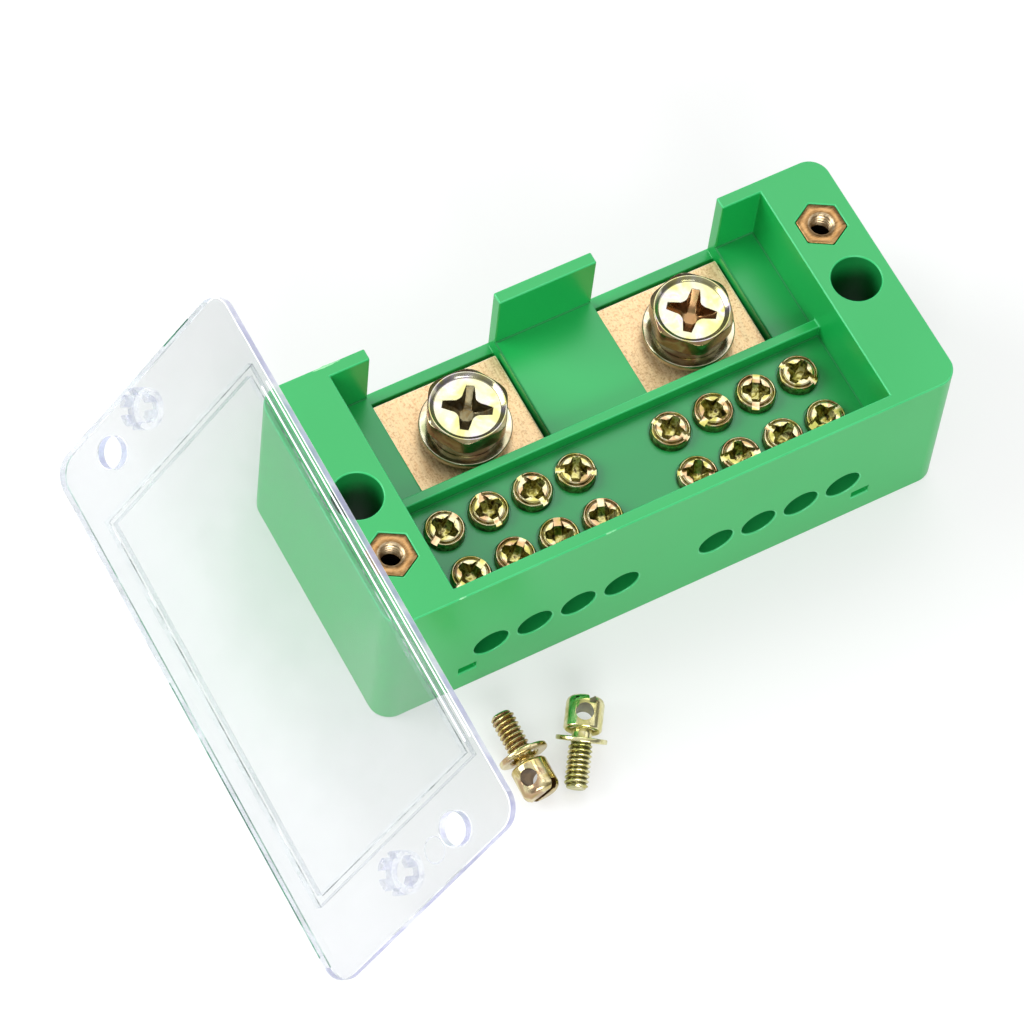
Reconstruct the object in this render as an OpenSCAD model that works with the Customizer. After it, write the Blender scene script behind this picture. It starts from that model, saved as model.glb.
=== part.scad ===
// Two-pole power distribution block: one bolt terminal in and four clamped wires out per pole.
// X runs along the block, the wire holes face -Y, Z is up and the origin is the middle of the underside.
// The clear cover is off and leans on the left end, and its two seal screws lie in front.

/* [Housing] */
// Length of the housing
block_l = 104; // [100:0.5:120]
// Width of the housing, front to back
block_w = 47; // [46:0.5:54]
// Height of the housing
block_h = 33.4; // [31:0.2:36]
// Radius of the four upright corners
corner_r = 3.6; // [1:0.1:5]
// Distance that each end stands out at the foot
end_draft = 0.7; // [0:0.1:1.5]
// Length of the solid pad at each end
end_pad_l = 12.25; // [11.5:0.25:13]
// Thickness of the front and back walls round the well
wall_t = 2.2; // [1.8:0.1:2.6]
// Depth of the well below the top
well_depth = 12.6; // [11:0.2:13.4]
// Thickness of the well floor over the bars
floor_t = 2; // [1.5:0.1:2.4]
// Thickness of the rib that splits the well lengthwise
rib_t = 1.7; // [1.2:0.1:2.2]
// Height of that rib above the well floor
rib_h = 2.85; // [2:0.05:4]
// Thickness of the front wall below the well floor
front_wall_t = 4; // [3.4:0.1:4.2]

/* [Lug bays] */
// Place of the bays, as a share of the way from the middle of the well to its ends
bay_share = 0.523; // [0.51:0.001:0.53]
// Width of each bay
bay_w = 23.6; // [22.4:0.1:24.4]
// Drop from the top of a bar to the sill that the cable passes over
sill_drop = 1.3; // [0.5:0.1:3]

/* [Wire ways] */
// Distance between neighbouring wire holes
way_pitch = 8; // [7.6:0.1:8.2]
// Diameter of the wire holes in the housing
wire_hole_d = 6.3; // [6:0.1:6.8]
// Diameter of the wire bores in the bars
wire_bore_d = 6; // [5:0.1:6.4]
// Distance from the rear clamp screws to the blind end of the wire bores
wire_bore_past = 3; // [2.4:0.1:4]
// Drop from the top of a bar to the axis of its wire bores
wire_drop = 6.7; // [6:0.1:7.4]
// Place of the rear clamp screws, as a share of the way from the rib's middle to the front wall
clamp_rear_share = 0.291; // [0.25:0.001:0.31]
// Place of the front clamp screws, as a share of the same way
clamp_front_share = 0.723; // [0.68:0.001:0.76]

/* [Terminal bars] */
// Height of the drilled front block of a bar
bar_h = 11.5; // [10.5:0.1:12]
// Height of the bar's bolt pad
bar_pad_h = 8; // [6:0.1:9]
// Distance from an outer wire bore to the end of the bar
bar_edge = 4; // [3.4:0.1:4.2]
// Gap at each side of the bolt pad in its bay
bar_side_gap = 0.4; // [0.2:0.05:0.8]
// Gap behind the bolt pad
bar_back_gap = 1.1; // [0.4:0.1:1.6]
// Clearance round the front block in its pocket
bar_clear = 0.2; // [0.1:0.05:0.4]

/* [Main bolts] */
// Thread diameter of the main bolts
bolt_d = 8; // [6:0.5:8.5]
// Length of a main bolt under its head
bolt_l = 16; // [14:0.5:18]
// Width of the bolt head across its flats
bolt_af = 13; // [11:0.5:14]
// Height of the bolt head
bolt_head_h = 4; // [3.8:0.1:6.5]
// Distance from the middle of the rib to the bolts
bolt_y = 9.4; // [9.2:0.1:11]
// Width of the rim round the dish in a head
dish_rim_t = 0.25; // [0.2:0.05:1]
// Depth of that dish
dish_depth = 0.65; // [0.2:0.05:0.8]
// Span of the cross recess in the head
bolt_cross_l = 8.4; // [6:0.1:8.8]
// Width of the arms of that recess
bolt_cross_w = 1.7; // [1:0.1:2.2]
// Depth of that recess below the dish
bolt_cross_depth = 2.8; // [1.5:0.1:3.5]
// Height at which the loose bolts hold their washers over the bar
bolt_lift = 2; // [0:0.1:2.5]
// Outer diameter of the flat washers
flat_washer_d = 15.4; // [14.5:0.1:16.5]
// Thickness of the flat washers
flat_washer_t = 1.2; // [1:0.1:2]
// Width and thickness of the spring washer's section
spring_section = 2; // [1.6:0.1:2.4]
// Opening in the spring washers
spring_split = 1.2; // [0.6:0.1:2]
// Clearance of bolts and washers on the bolt thread, all round
bolt_clear = 0.15; // [0.05:0.05:0.25]

/* [Clamp screws] */
// Thread diameter of the clamp screws
clamp_d = 4; // [3:0.1:4.4]
// Length of a clamp screw under its head
clamp_l = 5; // [4.4:0.1:5]
// Head diameter of the clamp screws
clamp_head_d = 6.7; // [5.6:0.1:6.8]
// Head height of the clamp screws
clamp_head_h = 2.6; // [2.2:0.1:3]
// Chamfer round the top of the heads
clamp_chamfer = 0.4; // [0.2:0.05:0.6]
// Height of the head tops above the well floor
clamp_stand = 1.75; // [1.4:0.05:2]
// Width of the slot
clamp_slot_w = 1.1; // [0.8:0.1:1.4]
// Depth of the slot
clamp_slot_depth = 0.8; // [0.5:0.1:1.1]
// Span of the cross recess
clamp_cross_l = 4.6; // [3.4:0.1:5]
// Depth of the cross recess
clamp_cross_depth = 1.7; // [1.2:0.1:1.9]
// Gap round the heads in the well floor
clamp_head_gap = 0.35; // [0.2:0.05:0.4]
// Clearance of the clamp threads in the bars, all round
clamp_clear = 0.05; // [0.03:0.01:0.2]

/* [Fixings] */
// Diameter of the two mounting holes
mount_hole_d = 8.4; // [6:0.1:9]
// Distance of the mounting holes and inserts from the block's ends
fixing_inset = 6.2; // [5.8:0.1:6.6]
// Distance of the inserts from the block's centre line
insert_y = 11.6; // [10:0.1:13]
// Width of the inserts across their flats
insert_af = 7.4; // [6.5:0.1:8]
// Length of the inserts
insert_l = 10; // [6:0.5:14]
// Diameter of the tapped bore in the inserts
insert_bore_d = 3.6; // [2.5:0.1:4.2]
// Chamfer at the mouth of that bore
insert_chamfer = 0.4; // [0.2:0.05:0.6]
// Clearance round the inserts in the pads
insert_clear = 0.05; // [0.03:0.01:0.15]

/* [Base plate] */
// Thickness of the base plate
base_t = 2.4; // [1.8:0.1:3]
// Clearance round the base plate
base_clear = 0.2; // [0.1:0.05:0.3]
// Corner radius of the base plate's recess
base_corner_r = 1.5; // [0.8:0.1:3]
// Thickness of the ribs that hold the bars up
prop_t = 2; // [1.4:0.1:3]
// Distance of the latches from the block's ends
latch_inset = 15.2; // [14.6:0.1:17]
// Width of the latch windows
window_w = 3.2; // [2.6:0.1:4]
// Height of the latch windows
window_h = 1.9; // [1.2:0.1:2.2]
// Height of the middle of the windows above the underside
window_z = 6.4; // [5.6:0.1:6.8]
// Thickness of the latch tongues
tongue_t = 1.3; // [1:0.1:1.5]
// Reach of the latch noses into the windows
nose_l = 1.2; // [0.6:0.1:1.5]
// Clearance round the tongues and noses
latch_clear = 0.15; // [0.1:0.05:0.3]

/* [Cover] */
// Thickness of the cover
cover_t = 1.5; // [1.2:0.1:2.5]
// Distance from each end of the cover to the end of the housing under it
cover_end_gap = 0.2; // [0:0.05:1]
// Overhang of the cover past the front and back of the housing
cover_overhang = 0.6; // [0:0.05:1]
// Radius of the cover's corners
cover_corner_r = 4.2; // [1:0.1:6]
// Height of the locating frame under the cover
frame_h = 1.2; // [0.8:0.1:1.6]
// Thickness of that frame
frame_t = 1.5; // [1:0.1:2]
// Gap from the frame to the ends of the well
frame_end_gap = 1.2; // [0.4:0.1:2]
// Gap from the frame to the front and back of the well
frame_side_gap = 0.4; // [0.2:0.05:0.8]
// Diameter of the seal screw holes
seal_hole_d = 5.4; // [4.8:0.1:6]
// Diameter of the castellated collars
collar_d = 7; // [6:0.1:8]
// Height of the collars
collar_h = 3.2; // [1.5:0.1:4]
// Wall of the collars
collar_t = 1.2; // [0.8:0.1:1.6]
// Width of the notches in the collars
collar_notch_w = 1.3; // [0.8:0.1:2]
// Depth of those notches
collar_notch_depth = 1.8; // [0.8:0.1:2.6]
// Sideways shift of the leaning cover, toward the front
cover_shift = 10.3; // [0:0.1:14]
// How far the frame of the leaning cover reaches in over the end pad
cover_hook = 0.9; // [0.3:0.1:1.5]
// Gap between the leaning cover and the edge that it rests on
rest_gap = 0.05; // [0.02:0.01:0.2]

/* [Seal screws] */
// Thread diameter of the seal screws
seal_d = 4; // [3:0.1:4.2]
// Length of the thread
seal_l = 7.45; // [6:0.05:12]
// Diameter of the neck between thread and head
seal_neck_d = 3.4; // [2.6:0.1:3.6]
// Length of that neck
seal_neck_l = 2; // [1.9:0.1:2.4]
// Diameter of the drum head
seal_head_d = 6.3; // [5.8:0.1:7]
// Height of the drum head
seal_head_h = 5.75; // [5.4:0.05:7]
// Chamfer at the top of the head
seal_chamfer = 0.8; // [0.4:0.1:1.2]
// Diameter of the hole for the seal wire
seal_wire_d = 2.9; // [1.6:0.1:3]
// Height of that hole in the head
seal_wire_z = 2.7; // [2.4:0.1:2.8]
// Width of the screwdriver slot
seal_slot_w = 1.2; // [0.8:0.1:1.6]
// Depth of the screwdriver slot
seal_slot_depth = 1.4; // [1:0.1:1.5]
// Diameter of the loose washer
seal_washer_d = 8.4; // [7.8:0.1:9.5]
// Thickness of the loose washer
seal_washer_t = 0.8; // [0.5:0.1:0.9]
// Gap round the neck in the loose washer, all round
seal_washer_gap = 0.8; // [0.75:0.05:0.9]
// How far the screw drops in its washer
seal_washer_drop = 0.45; // [0.2:0.05:0.45]
// Distance from the head to the middle of the washer
seal_washer_at = 1.5; // [1.4:0.05:1.6]
// Distance of the first screw's washer from the left end of the block
first_seal_in = 16.6; // [10:0.1:30]
// Distance of the first screw's washer in front of the block
first_seal_out = 16.9; // [14:0.1:40]
// Heading of the first screw's head
first_seal_turn = -90; // [-120:1:-60]
// Roll of the first screw about its own axis
first_seal_roll = 31; // [-90:1:90]
// Turn of the first screw's slot from its wire hole
first_slot_turn = -70; // [-90:1:90]
// Lean of the first screw's washer
first_washer_lean = -8; // [-15:1:0]
// Distance of the second screw's washer from the left end of the block
second_seal_in = 26.4; // [22:0.1:40]
// Distance of the second screw's washer in front of the block
second_seal_out = 18.5; // [16:0.1:40]
// Heading of the second screw's head
second_seal_turn = 56; // [30:1:80]
// Roll of the second screw about its own axis
second_seal_roll = 0; // [-90:1:90]
// Turn of the second screw's slot from its wire hole
second_slot_turn = 21; // [-90:1:90]
// Lean of the second screw's washer
second_washer_lean = 25; // [10:1:25]

/* [Hidden] */
$fn = 48;
// Extra length that carries a cut clear through a face
over = 1;
LEFT = -1;
RIGHT = 1;
SIDES = [LEFT, RIGHT];
WAYS_PER_BAR = 4;
WAYS = 2 * WAYS_PER_BAR;
NOTCH_PAIRS = 3;

// Well and floor levels
well_l = block_l - 2 * end_pad_l;
well_w = block_w - 2 * wall_t;
floor_z = block_h - well_depth;
bar_top_z = floor_z - floor_t;
sill_z = bar_top_z - sill_drop;

// Terminal bars
bar_x = bay_share * well_l / 2;
bar_l = (WAYS_PER_BAR - 1) * way_pitch + 2 * bar_edge;
bar_front_y = front_wall_t + bar_clear - block_w / 2;
bar_step_y = rib_t / 2;
bar_back_y = well_w / 2 - bar_back_gap;
bar_bottom_z = bar_top_z - bar_h;
wire_z = bar_top_z - wire_drop;
wire_end_y = wire_bore_past - clamp_rear_share * well_w / 2;

// Place of way number n along X, counted from 1 at the left
function way_x(n) =
    let (side = n > WAYS_PER_BAR ? RIGHT : LEFT, place = (n - 1) % WAYS_PER_BAR)
    side * bar_x + (place - (WAYS_PER_BAR - 1) / 2) * way_pitch;
clamp_rows_y = [-clamp_rear_share * well_w / 2, -clamp_front_share * well_w / 2];
// How far the rear and front screws of each way have been turned
clamp_turns = [[30, 25], [95, 40], [105, 70], [150, 70], [125, 150], [25, 165], [60, 120], [125, 10]];
clamp_seat_z = floor_z + clamp_stand - clamp_head_h;

// Stack on the bolt pads
washer_z = bar_top_z + bolt_lift;
spring_z = washer_z + flat_washer_t;
head_z = spring_z + spring_section;
left_bolt_turn = 0;
right_bolt_turn = 15;
left_split_turn = 80;
right_split_turn = 100;
left_cross_turn = 55;
right_cross_turn = 51;
HEAD_CHAMFER_ANGLE = 17;
// Step from the flats of a head to the edge of its top
HEAD_EDGE = 0.1;
bolt_hole_d = bolt_d + 2 * bolt_clear;

// Fixings; an insert has two corners in line with the block's ends
fixing_x = block_l / 2 - fixing_inset;
INSERT_TURN = 30;

// Latches
latch_x = block_l / 2 - latch_inset;
latch_y = well_w / 2 - base_clear;
tongue_top_z = window_z + window_h / 2;
latch_pocket_y = block_w / 2 - front_wall_t - bar_clear;

// Cover as it lies on the block
cover_l = block_l - 2 * cover_end_gap;
cover_w = block_w + 2 * cover_overhang;
frame_l = well_l - 2 * frame_end_gap;
frame_w = well_w - 2 * frame_side_gap;

// Lean of the cover: the inner corner of its frame's long side rests on the end pad
hook_run = cover_w / 2 + frame_w / 2 - frame_t;
cover_lean = asin((block_h + rest_gap) / norm([hook_run, frame_h])) + atan2(frame_h, hook_run);
hook_reach = hook_run * cos(cover_lean) + frame_h * sin(cover_lean);
cover_foot_x = cover_hook - block_l / 2 - hook_reach;

// Loose seal screws; a lean or a rise is positive where the head is the higher end
seal_neck_r = seal_neck_d / 2;
seal_head_r = seal_head_d / 2;
seal_washer_r = seal_washer_d / 2;
seal_rim_z = seal_head_h - seal_chamfer;
seal_tip_z = -seal_neck_l - seal_l;
// Height of a screw's axis in a washer that stands on its rim
function seal_axis_z(lean) =
    seal_washer_r * cos(lean) + seal_washer_t / 2 * sin(abs(lean)) - seal_washer_drop;
// Slope of an axis that is z high at one place and has a rim of radius r on the ground, d further on
function slope_to(z, d, r) = asin(z / norm([d, r])) - atan2(r, d);
// The first screw has its head on the ground and the second one its tip
first_seal_rise = -slope_to(seal_axis_z(first_washer_lean), seal_washer_at + seal_rim_z, seal_head_r);
second_seal_rise = slope_to(seal_axis_z(second_washer_lean), -seal_washer_at - seal_tip_z, seal_d / 2);

// Radius of the circle through the corners of a hexagon of width af across its flats
function hexagon_r(af) = af / sqrt(3);

// Rectangle with round corners, centred
module rounded_rect(l, w, r) {
    square([l - 2 * r, w], center = true);
    square([l, w - 2 * r], center = true);
    for (x = SIDES, y = SIDES)
        translate([x * (l / 2 - r), y * (w / 2 - r)]) circle(r);
}

module rounded_plate(l, w, h, r) {
    linear_extrude(h) rounded_rect(l, w, r);
}

// Box from one corner to the opposite one
module box(low, high) {
    translate(low) cube(high - low);
}

// Hexagonal prism that stands on its end
module hexagon(af, h) {
    cylinder(h = h, r = hexagon_r(af), $fn = 6);
}

// Cross recess: two crossing arms with a tapered end, running down from z = 0
module cross_cut(span, w, depth) {
    intersection() {
        union() {
            for (turn = [0, 90])
                rotate(turn) translate([-span / 2, -w / 2, -depth]) cube([span, w, depth + over]);
        }
        cross_taper(span, w, depth);
    }
}

// Cone that a driver's tip leaves: full span at the top and as wide as an arm at the bottom
module cross_taper(span, w, depth) {
    rotate_extrude() polygon([[0, -depth], [w / 2, -depth], [span / 2, 0], [span / 2, over], [0, over]]);
}

// Well in the top, with its rib left standing
module well_cut() {
    difference() {
        box([-well_l / 2, -well_w / 2, floor_z], [well_l / 2, well_w / 2, block_h + over]);
        box([-well_l / 2 - over, -rib_t / 2, floor_z - over],
            [well_l / 2 + over, rib_t / 2, floor_z + rib_h]);
    }
}

// Bay for one cable lug: open to the well, over the sill and down round the bolt pad
module bay_cut(side) {
    x0 = side * bar_x - bay_w / 2;
    x1 = side * bar_x + bay_w / 2;
    box([x0, bar_step_y, base_t], [x1, well_w / 2, floor_z + over]);
    box([x0, bar_step_y + over, sill_z], [x1, block_w / 2 + over, block_h + over]);
}

// Pocket for the drilled block of one bar, open from below
module bar_pocket(side) {
    half = bar_l / 2 + bar_clear;
    box([side * bar_x - half, bar_front_y - bar_clear, base_t - over],
        [side * bar_x + half, bar_step_y + bar_clear, bar_top_z]);
}

// Wire hole in the front wall and the two wells round the clamp screw heads
module way_cut(n) {
    translate([way_x(n), bar_front_y + over, wire_z])
        rotate([90, 0, 0]) cylinder(h = block_w / 2, d = wire_hole_d);
    for (y = clamp_rows_y)
        translate([way_x(n), y, bar_top_z - over])
            cylinder(h = floor_t + 2 * over, d = clamp_head_d + 2 * clamp_head_gap);
}

// Window for a latch nose and the pocket for its tongue; end is the side along X, edge the side along Y
module latch_cut(end, edge) {
    left = end * latch_x - window_w / 2;
    right = end * latch_x + window_w / 2;
    mirror([0, edge > 0 ? 0 : 1, 0]) {
        box([left, latch_pocket_y, window_z - window_h / 2],
            [right, block_w / 2 + over, window_z + window_h / 2]);
        box([left, latch_pocket_y, base_t - over], [right, well_w / 2, tongue_top_z + latch_clear]);
    }
}

// Rounded block in two halves, each leaning in so that its end stands out at the foot
module block_body() {
    lean = atan2(end_draft, block_h);
    for (side = SIDES) intersection() {
        translate([side * block_l / 2, 0, block_h]) rotate([0, -side * lean, 0])
            translate([-side * block_l / 2, 0, -2 * block_h])
                rounded_plate(block_l, block_w, 3 * block_h, corner_r);
        translate([side < 0 ? -block_l : 0, -block_w, 0]) cube([block_l, 2 * block_w, block_h]);
    }
}

module housing() {
    color("mediumseagreen") difference() {
        block_body();
        well_cut();
        for (side = SIDES) {
            bay_cut(side);
            bar_pocket(side);
            translate([side * fixing_x, 0, -over]) cylinder(h = block_h + 2 * over, d = mount_hole_d);
            translate([side * fixing_x, side * insert_y, block_h - insert_l])
                rotate(INSERT_TURN) hexagon(insert_af + 2 * insert_clear, insert_l + over);
        }
        for (n = [1 : WAYS]) way_cut(n);
        translate([0, 0, -over]) rounded_plate(well_l, well_w, base_t + over, base_corner_r);
        for (end = SIDES, edge = SIDES) latch_cut(end, edge);
    }
}

// Tongue with a nose that snaps into a window
module latch() {
    tongue_w = window_w - 2 * latch_clear;
    nose_low = window_z - window_h / 2 + latch_clear;
    nose_high = window_z + window_h / 2 - latch_clear;
    reach = base_clear + nose_l;
    rotate([90, 0, 90]) translate([0, 0, -tongue_w / 2]) linear_extrude(tongue_w)
        polygon([[-tongue_t, base_t / 2], [0, base_t / 2], [0, nose_low], [reach, nose_low],
                 [reach, (nose_low + nose_high) / 2], [0, nose_high], [-tongue_t, nose_high]]);
}

module base_plate() {
    color("seagreen") {
        rounded_plate(well_l - 2 * base_clear, well_w - 2 * base_clear, base_t, base_corner_r);
        for (side = SIDES, y = clamp_rows_y)
            translate([side * bar_x - bar_l / 2 + bar_edge, y - prop_t / 2, base_t / 2])
                cube([bar_l - 2 * bar_edge, prop_t, bar_bottom_z - base_t / 2]);
        for (end = SIDES, edge = SIDES)
            translate([end * latch_x, edge * latch_y, 0]) rotate(edge > 0 ? 0 : 180) latch();
    }
}

// Bar of one pole: drilled block under the front floor and a bolt pad in the bay
module terminal_bar(side) {
    first = side > 0 ? WAYS_PER_BAR + 1 : 1;
    pad_w = bay_w - 2 * bar_side_gap;
    color("tan") difference() {
        union() {
            box([side * bar_x - bar_l / 2, bar_front_y, bar_bottom_z],
                [side * bar_x + bar_l / 2, bar_step_y, bar_top_z]);
            box([side * bar_x - pad_w / 2, bar_step_y - over, bar_top_z - bar_pad_h],
                [side * bar_x + pad_w / 2, bar_back_y, bar_top_z]);
        }
        translate([side * bar_x, bolt_y, bar_bottom_z - over])
            cylinder(h = bar_h + 2 * over, d = bolt_hole_d);
        for (n = [first : first + WAYS_PER_BAR - 1]) {
            translate([way_x(n), wire_end_y, wire_z])
                rotate([90, 0, 0]) cylinder(h = wire_end_y - bar_front_y + over, d = wire_bore_d);
            for (y = clamp_rows_y)
                translate([way_x(n), y, wire_z])
                    cylinder(h = wire_drop + over, d = clamp_d + 2 * clamp_clear);
        }
    }
}

// Hexagon bolt with a chamfered, dished head and a cross recess
module main_bolt(side, turn, cross_turn) {
    corner = hexagon_r(bolt_af);
    crown_r = bolt_af / 2 - HEAD_EDGE;
    dish_r = crown_r - dish_rim_t;
    chamfer = (corner - crown_r) * tan(HEAD_CHAMFER_ANGLE);
    color("khaki") translate([side * bar_x, bolt_y, head_z]) rotate(turn) difference() {
        union() {
            intersection() {
                hexagon(bolt_af, bolt_head_h);
                rotate_extrude() polygon([[0, 0], [crown_r, 0], [corner, chamfer],
                                          [corner, bolt_head_h - chamfer], [crown_r, bolt_head_h],
                                          [0, bolt_head_h]]);
            }
            translate([0, 0, -bolt_l]) cylinder(h = bolt_l + chamfer, d = bolt_d);
        }
        translate([0, 0, bolt_head_h - dish_depth])
            cylinder(h = dish_depth + over, r1 = dish_r - dish_depth, r2 = dish_r + over);
        translate([0, 0, bolt_head_h - dish_depth])
            rotate(cross_turn - turn) cross_cut(bolt_cross_l, bolt_cross_w, bolt_cross_depth);
    }
}

// Split ring between head and flat washer
module spring_washer(side, turn) {
    color("khaki") translate([side * bar_x, bolt_y, spring_z]) difference() {
        rotate_extrude() translate([bolt_hole_d / 2, 0]) square(spring_section);
        rotate(turn) translate([0, -spring_split / 2, -over])
            cube([bolt_af, spring_split, spring_section + 2 * over]);
    }
}

module flat_washer(side) {
    color("khaki") translate([side * bar_x, bolt_y, washer_z]) difference() {
        cylinder(h = flat_washer_t, d = flat_washer_d);
        translate([0, 0, -over]) cylinder(h = flat_washer_t + 2 * over, d = bolt_hole_d);
    }
}

// Cheese-head screw with a slot and a cross recess, its seat at z = 0
module clamp_screw() {
    r = clamp_head_d / 2;
    difference() {
        union() {
            rotate_extrude() polygon([[0, 0], [r, 0], [r, clamp_head_h - clamp_chamfer],
                                      [r - clamp_chamfer, clamp_head_h], [0, clamp_head_h]]);
            translate([0, 0, -clamp_l]) cylinder(h = clamp_l + clamp_chamfer, d = clamp_d);
        }
        translate([-clamp_head_d, -clamp_slot_w / 2, clamp_head_h - clamp_slot_depth])
            cube([2 * clamp_head_d, clamp_slot_w, clamp_slot_depth + over]);
        translate([0, 0, clamp_head_h]) cross_cut(clamp_cross_l, clamp_slot_w, clamp_cross_depth);
    }
}

// The rear and front screw of one way
module way_clamp_screws(n) {
    for (row = [0, 1])
        color("khaki") translate([way_x(n), clamp_rows_y[row], clamp_seat_z])
            rotate(clamp_turns[n - 1][row]) clamp_screw();
}

// Hexagonal insert, flush with the top of its pad
module cover_insert(side) {
    mouth_r = insert_bore_d / 2 + insert_chamfer;
    color("peru") translate([side * fixing_x, side * insert_y, block_h - insert_l]) difference() {
        rotate(INSERT_TURN) hexagon(insert_af, insert_l);
        translate([0, 0, -over]) cylinder(h = insert_l + 2 * over, d = insert_bore_d);
        translate([0, 0, insert_l - insert_chamfer])
            cylinder(h = insert_chamfer, r1 = insert_bore_d / 2, r2 = mouth_r);
    }
}

// Short tube with notches in its rim
module collar() {
    difference() {
        cylinder(h = collar_h, d = collar_d);
        cylinder(h = collar_h + over, d = collar_d - 2 * collar_t);
        for (pair = [0 : NOTCH_PAIRS - 1])
            rotate(pair * 180 / NOTCH_PAIRS)
                translate([-collar_d, -collar_notch_w / 2, collar_h - collar_notch_depth])
                    cube([2 * collar_d, collar_notch_w, collar_notch_depth + over]);
    }
}

// Cover as it lies on the block, with its inner face at z = 0
module cover_plate() {
    difference() {
        union() {
            rounded_plate(cover_l, cover_w, cover_t, cover_corner_r);
            translate([0, 0, -frame_h]) linear_extrude(frame_h + cover_t / 2) difference() {
                square([frame_l, frame_w], center = true);
                square([frame_l - 2 * frame_t, frame_w - 2 * frame_t], center = true);
            }
        }
        for (side = SIDES)
            translate([side * fixing_x, side * insert_y, -over])
                cylinder(h = cover_t + 2 * over, d = seal_hole_d);
    }
    for (side = SIDES)
        translate([side * fixing_x, 0, cover_t]) collar();
}

module cover() {
    color("lavender", 0.4)
        translate([cover_foot_x, -cover_shift, 0]) rotate([0, -cover_lean, 0])
            translate([cover_w / 2, 0, 0]) rotate(90) cover_plate();
}

// Drum head drilled for the seal wire, with its seat at z = 0, the neck and the thread below
module seal_screw(slot_turn) {
    color("khaki") difference() {
        rotate_extrude()
            polygon([[0, seal_tip_z], [seal_d / 2, seal_tip_z], [seal_d / 2, -seal_neck_l],
                     [seal_neck_r, -seal_neck_l], [seal_neck_r, 0], [seal_head_r, 0],
                     [seal_head_r, seal_rim_z], [seal_head_r - seal_chamfer, seal_head_h],
                     [0, seal_head_h]]);
        translate([-seal_head_d, 0, seal_wire_z])
            rotate([0, 90, 0]) cylinder(h = 2 * seal_head_d, d = seal_wire_d);
        rotate(slot_turn)
            translate([-seal_head_d, -seal_slot_w / 2, seal_head_h - seal_slot_depth])
                cube([2 * seal_head_d, seal_slot_w, seal_slot_depth + over]);
    }
}

module seal_washer() {
    color("khaki") difference() {
        cylinder(h = seal_washer_t, d = seal_washer_d, center = true);
        cylinder(h = seal_washer_t + 2 * over, r = seal_neck_r + seal_washer_gap, center = true);
    }
}

// Carries a child from the Z axis to the heading turn and the rise, at height z over a place by the block
module lie_at(in, out, z, turn, rise) {
    translate([in - block_l / 2, -block_w / 2 - out, z]) rotate(turn) rotate([0, 90 - rise, 0]) children();
}

module first_seal_screw() {
    lie_at(first_seal_in, first_seal_out, seal_axis_z(first_washer_lean),
           first_seal_turn, first_seal_rise)
        translate([0, 0, seal_washer_at]) rotate(first_seal_roll) seal_screw(first_slot_turn);
}

module first_seal_washer() {
    lie_at(first_seal_in, first_seal_out, seal_axis_z(first_washer_lean) + seal_washer_drop,
           first_seal_turn, first_washer_lean) seal_washer();
}

module second_seal_screw() {
    lie_at(second_seal_in, second_seal_out, seal_axis_z(second_washer_lean),
           second_seal_turn, second_seal_rise)
        translate([0, 0, seal_washer_at]) rotate(second_seal_roll) seal_screw(second_slot_turn);
}

module second_seal_washer() {
    lie_at(second_seal_in, second_seal_out, seal_axis_z(second_washer_lean) + seal_washer_drop,
           second_seal_turn, second_washer_lean) seal_washer();
}

housing();
base_plate();
terminal_bar(LEFT);  // left_terminal_bar
terminal_bar(RIGHT);  // right_terminal_bar
main_bolt(LEFT, left_bolt_turn, left_cross_turn);  // left_main_bolt
main_bolt(RIGHT, right_bolt_turn, right_cross_turn);  // right_main_bolt
spring_washer(LEFT, left_split_turn);  // left_spring_washer
spring_washer(RIGHT, right_split_turn);  // right_spring_washer
flat_washer(LEFT);  // left_flat_washer
flat_washer(RIGHT);  // right_flat_washer
for (n = [1 : WAYS])
    way_clamp_screws(n);
cover_insert(LEFT);  // left_cover_insert
cover_insert(RIGHT);  // right_cover_insert
cover();
first_seal_screw();
first_seal_washer();
second_seal_screw();
second_seal_washer();
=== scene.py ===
import math

import bmesh
import bpy
from mathutils import Matrix, Vector


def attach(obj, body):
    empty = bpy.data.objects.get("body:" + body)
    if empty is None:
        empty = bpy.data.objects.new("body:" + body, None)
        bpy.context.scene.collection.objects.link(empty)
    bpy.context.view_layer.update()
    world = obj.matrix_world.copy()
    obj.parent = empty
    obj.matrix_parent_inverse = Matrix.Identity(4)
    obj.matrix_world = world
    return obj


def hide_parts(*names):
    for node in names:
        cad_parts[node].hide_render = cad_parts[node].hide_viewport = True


# Dresses the power distribution block over its CAD frame and shows it as in the photo

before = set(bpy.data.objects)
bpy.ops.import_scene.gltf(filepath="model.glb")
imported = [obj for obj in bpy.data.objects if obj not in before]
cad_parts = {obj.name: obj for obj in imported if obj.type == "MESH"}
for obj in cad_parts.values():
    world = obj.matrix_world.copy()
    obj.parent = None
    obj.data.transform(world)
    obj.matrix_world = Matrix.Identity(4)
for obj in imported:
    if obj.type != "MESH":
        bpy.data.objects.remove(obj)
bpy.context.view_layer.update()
scene = bpy.context.scene
MM = 0.001

# Sizes and places of the block in millimetres, as in the CAD: X runs along it and Y to its rear
BLOCK_H = 33.4
HALF_W = 23.5
FLOOR_Z = 20.8
FIXING_X = 45.8
MOUNT_R = 4.2
INSERT_Y = 11.6
INSERT_L = 10.0
BAR_X = 20.79
BAR_TOP = 18.8
BOLT_Y = 9.4
WAYS_PER_BAR = 4
WAYS = range(2 * WAYS_PER_BAR)
WAY_PITCH = 8.0
WIRE_R = 3.15
WIRE_Z = 12.1
CLAMP_ROWS = (-6.2, -15.4)
CLAMP_SEAT = 19.95


# Mesh helpers

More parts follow.
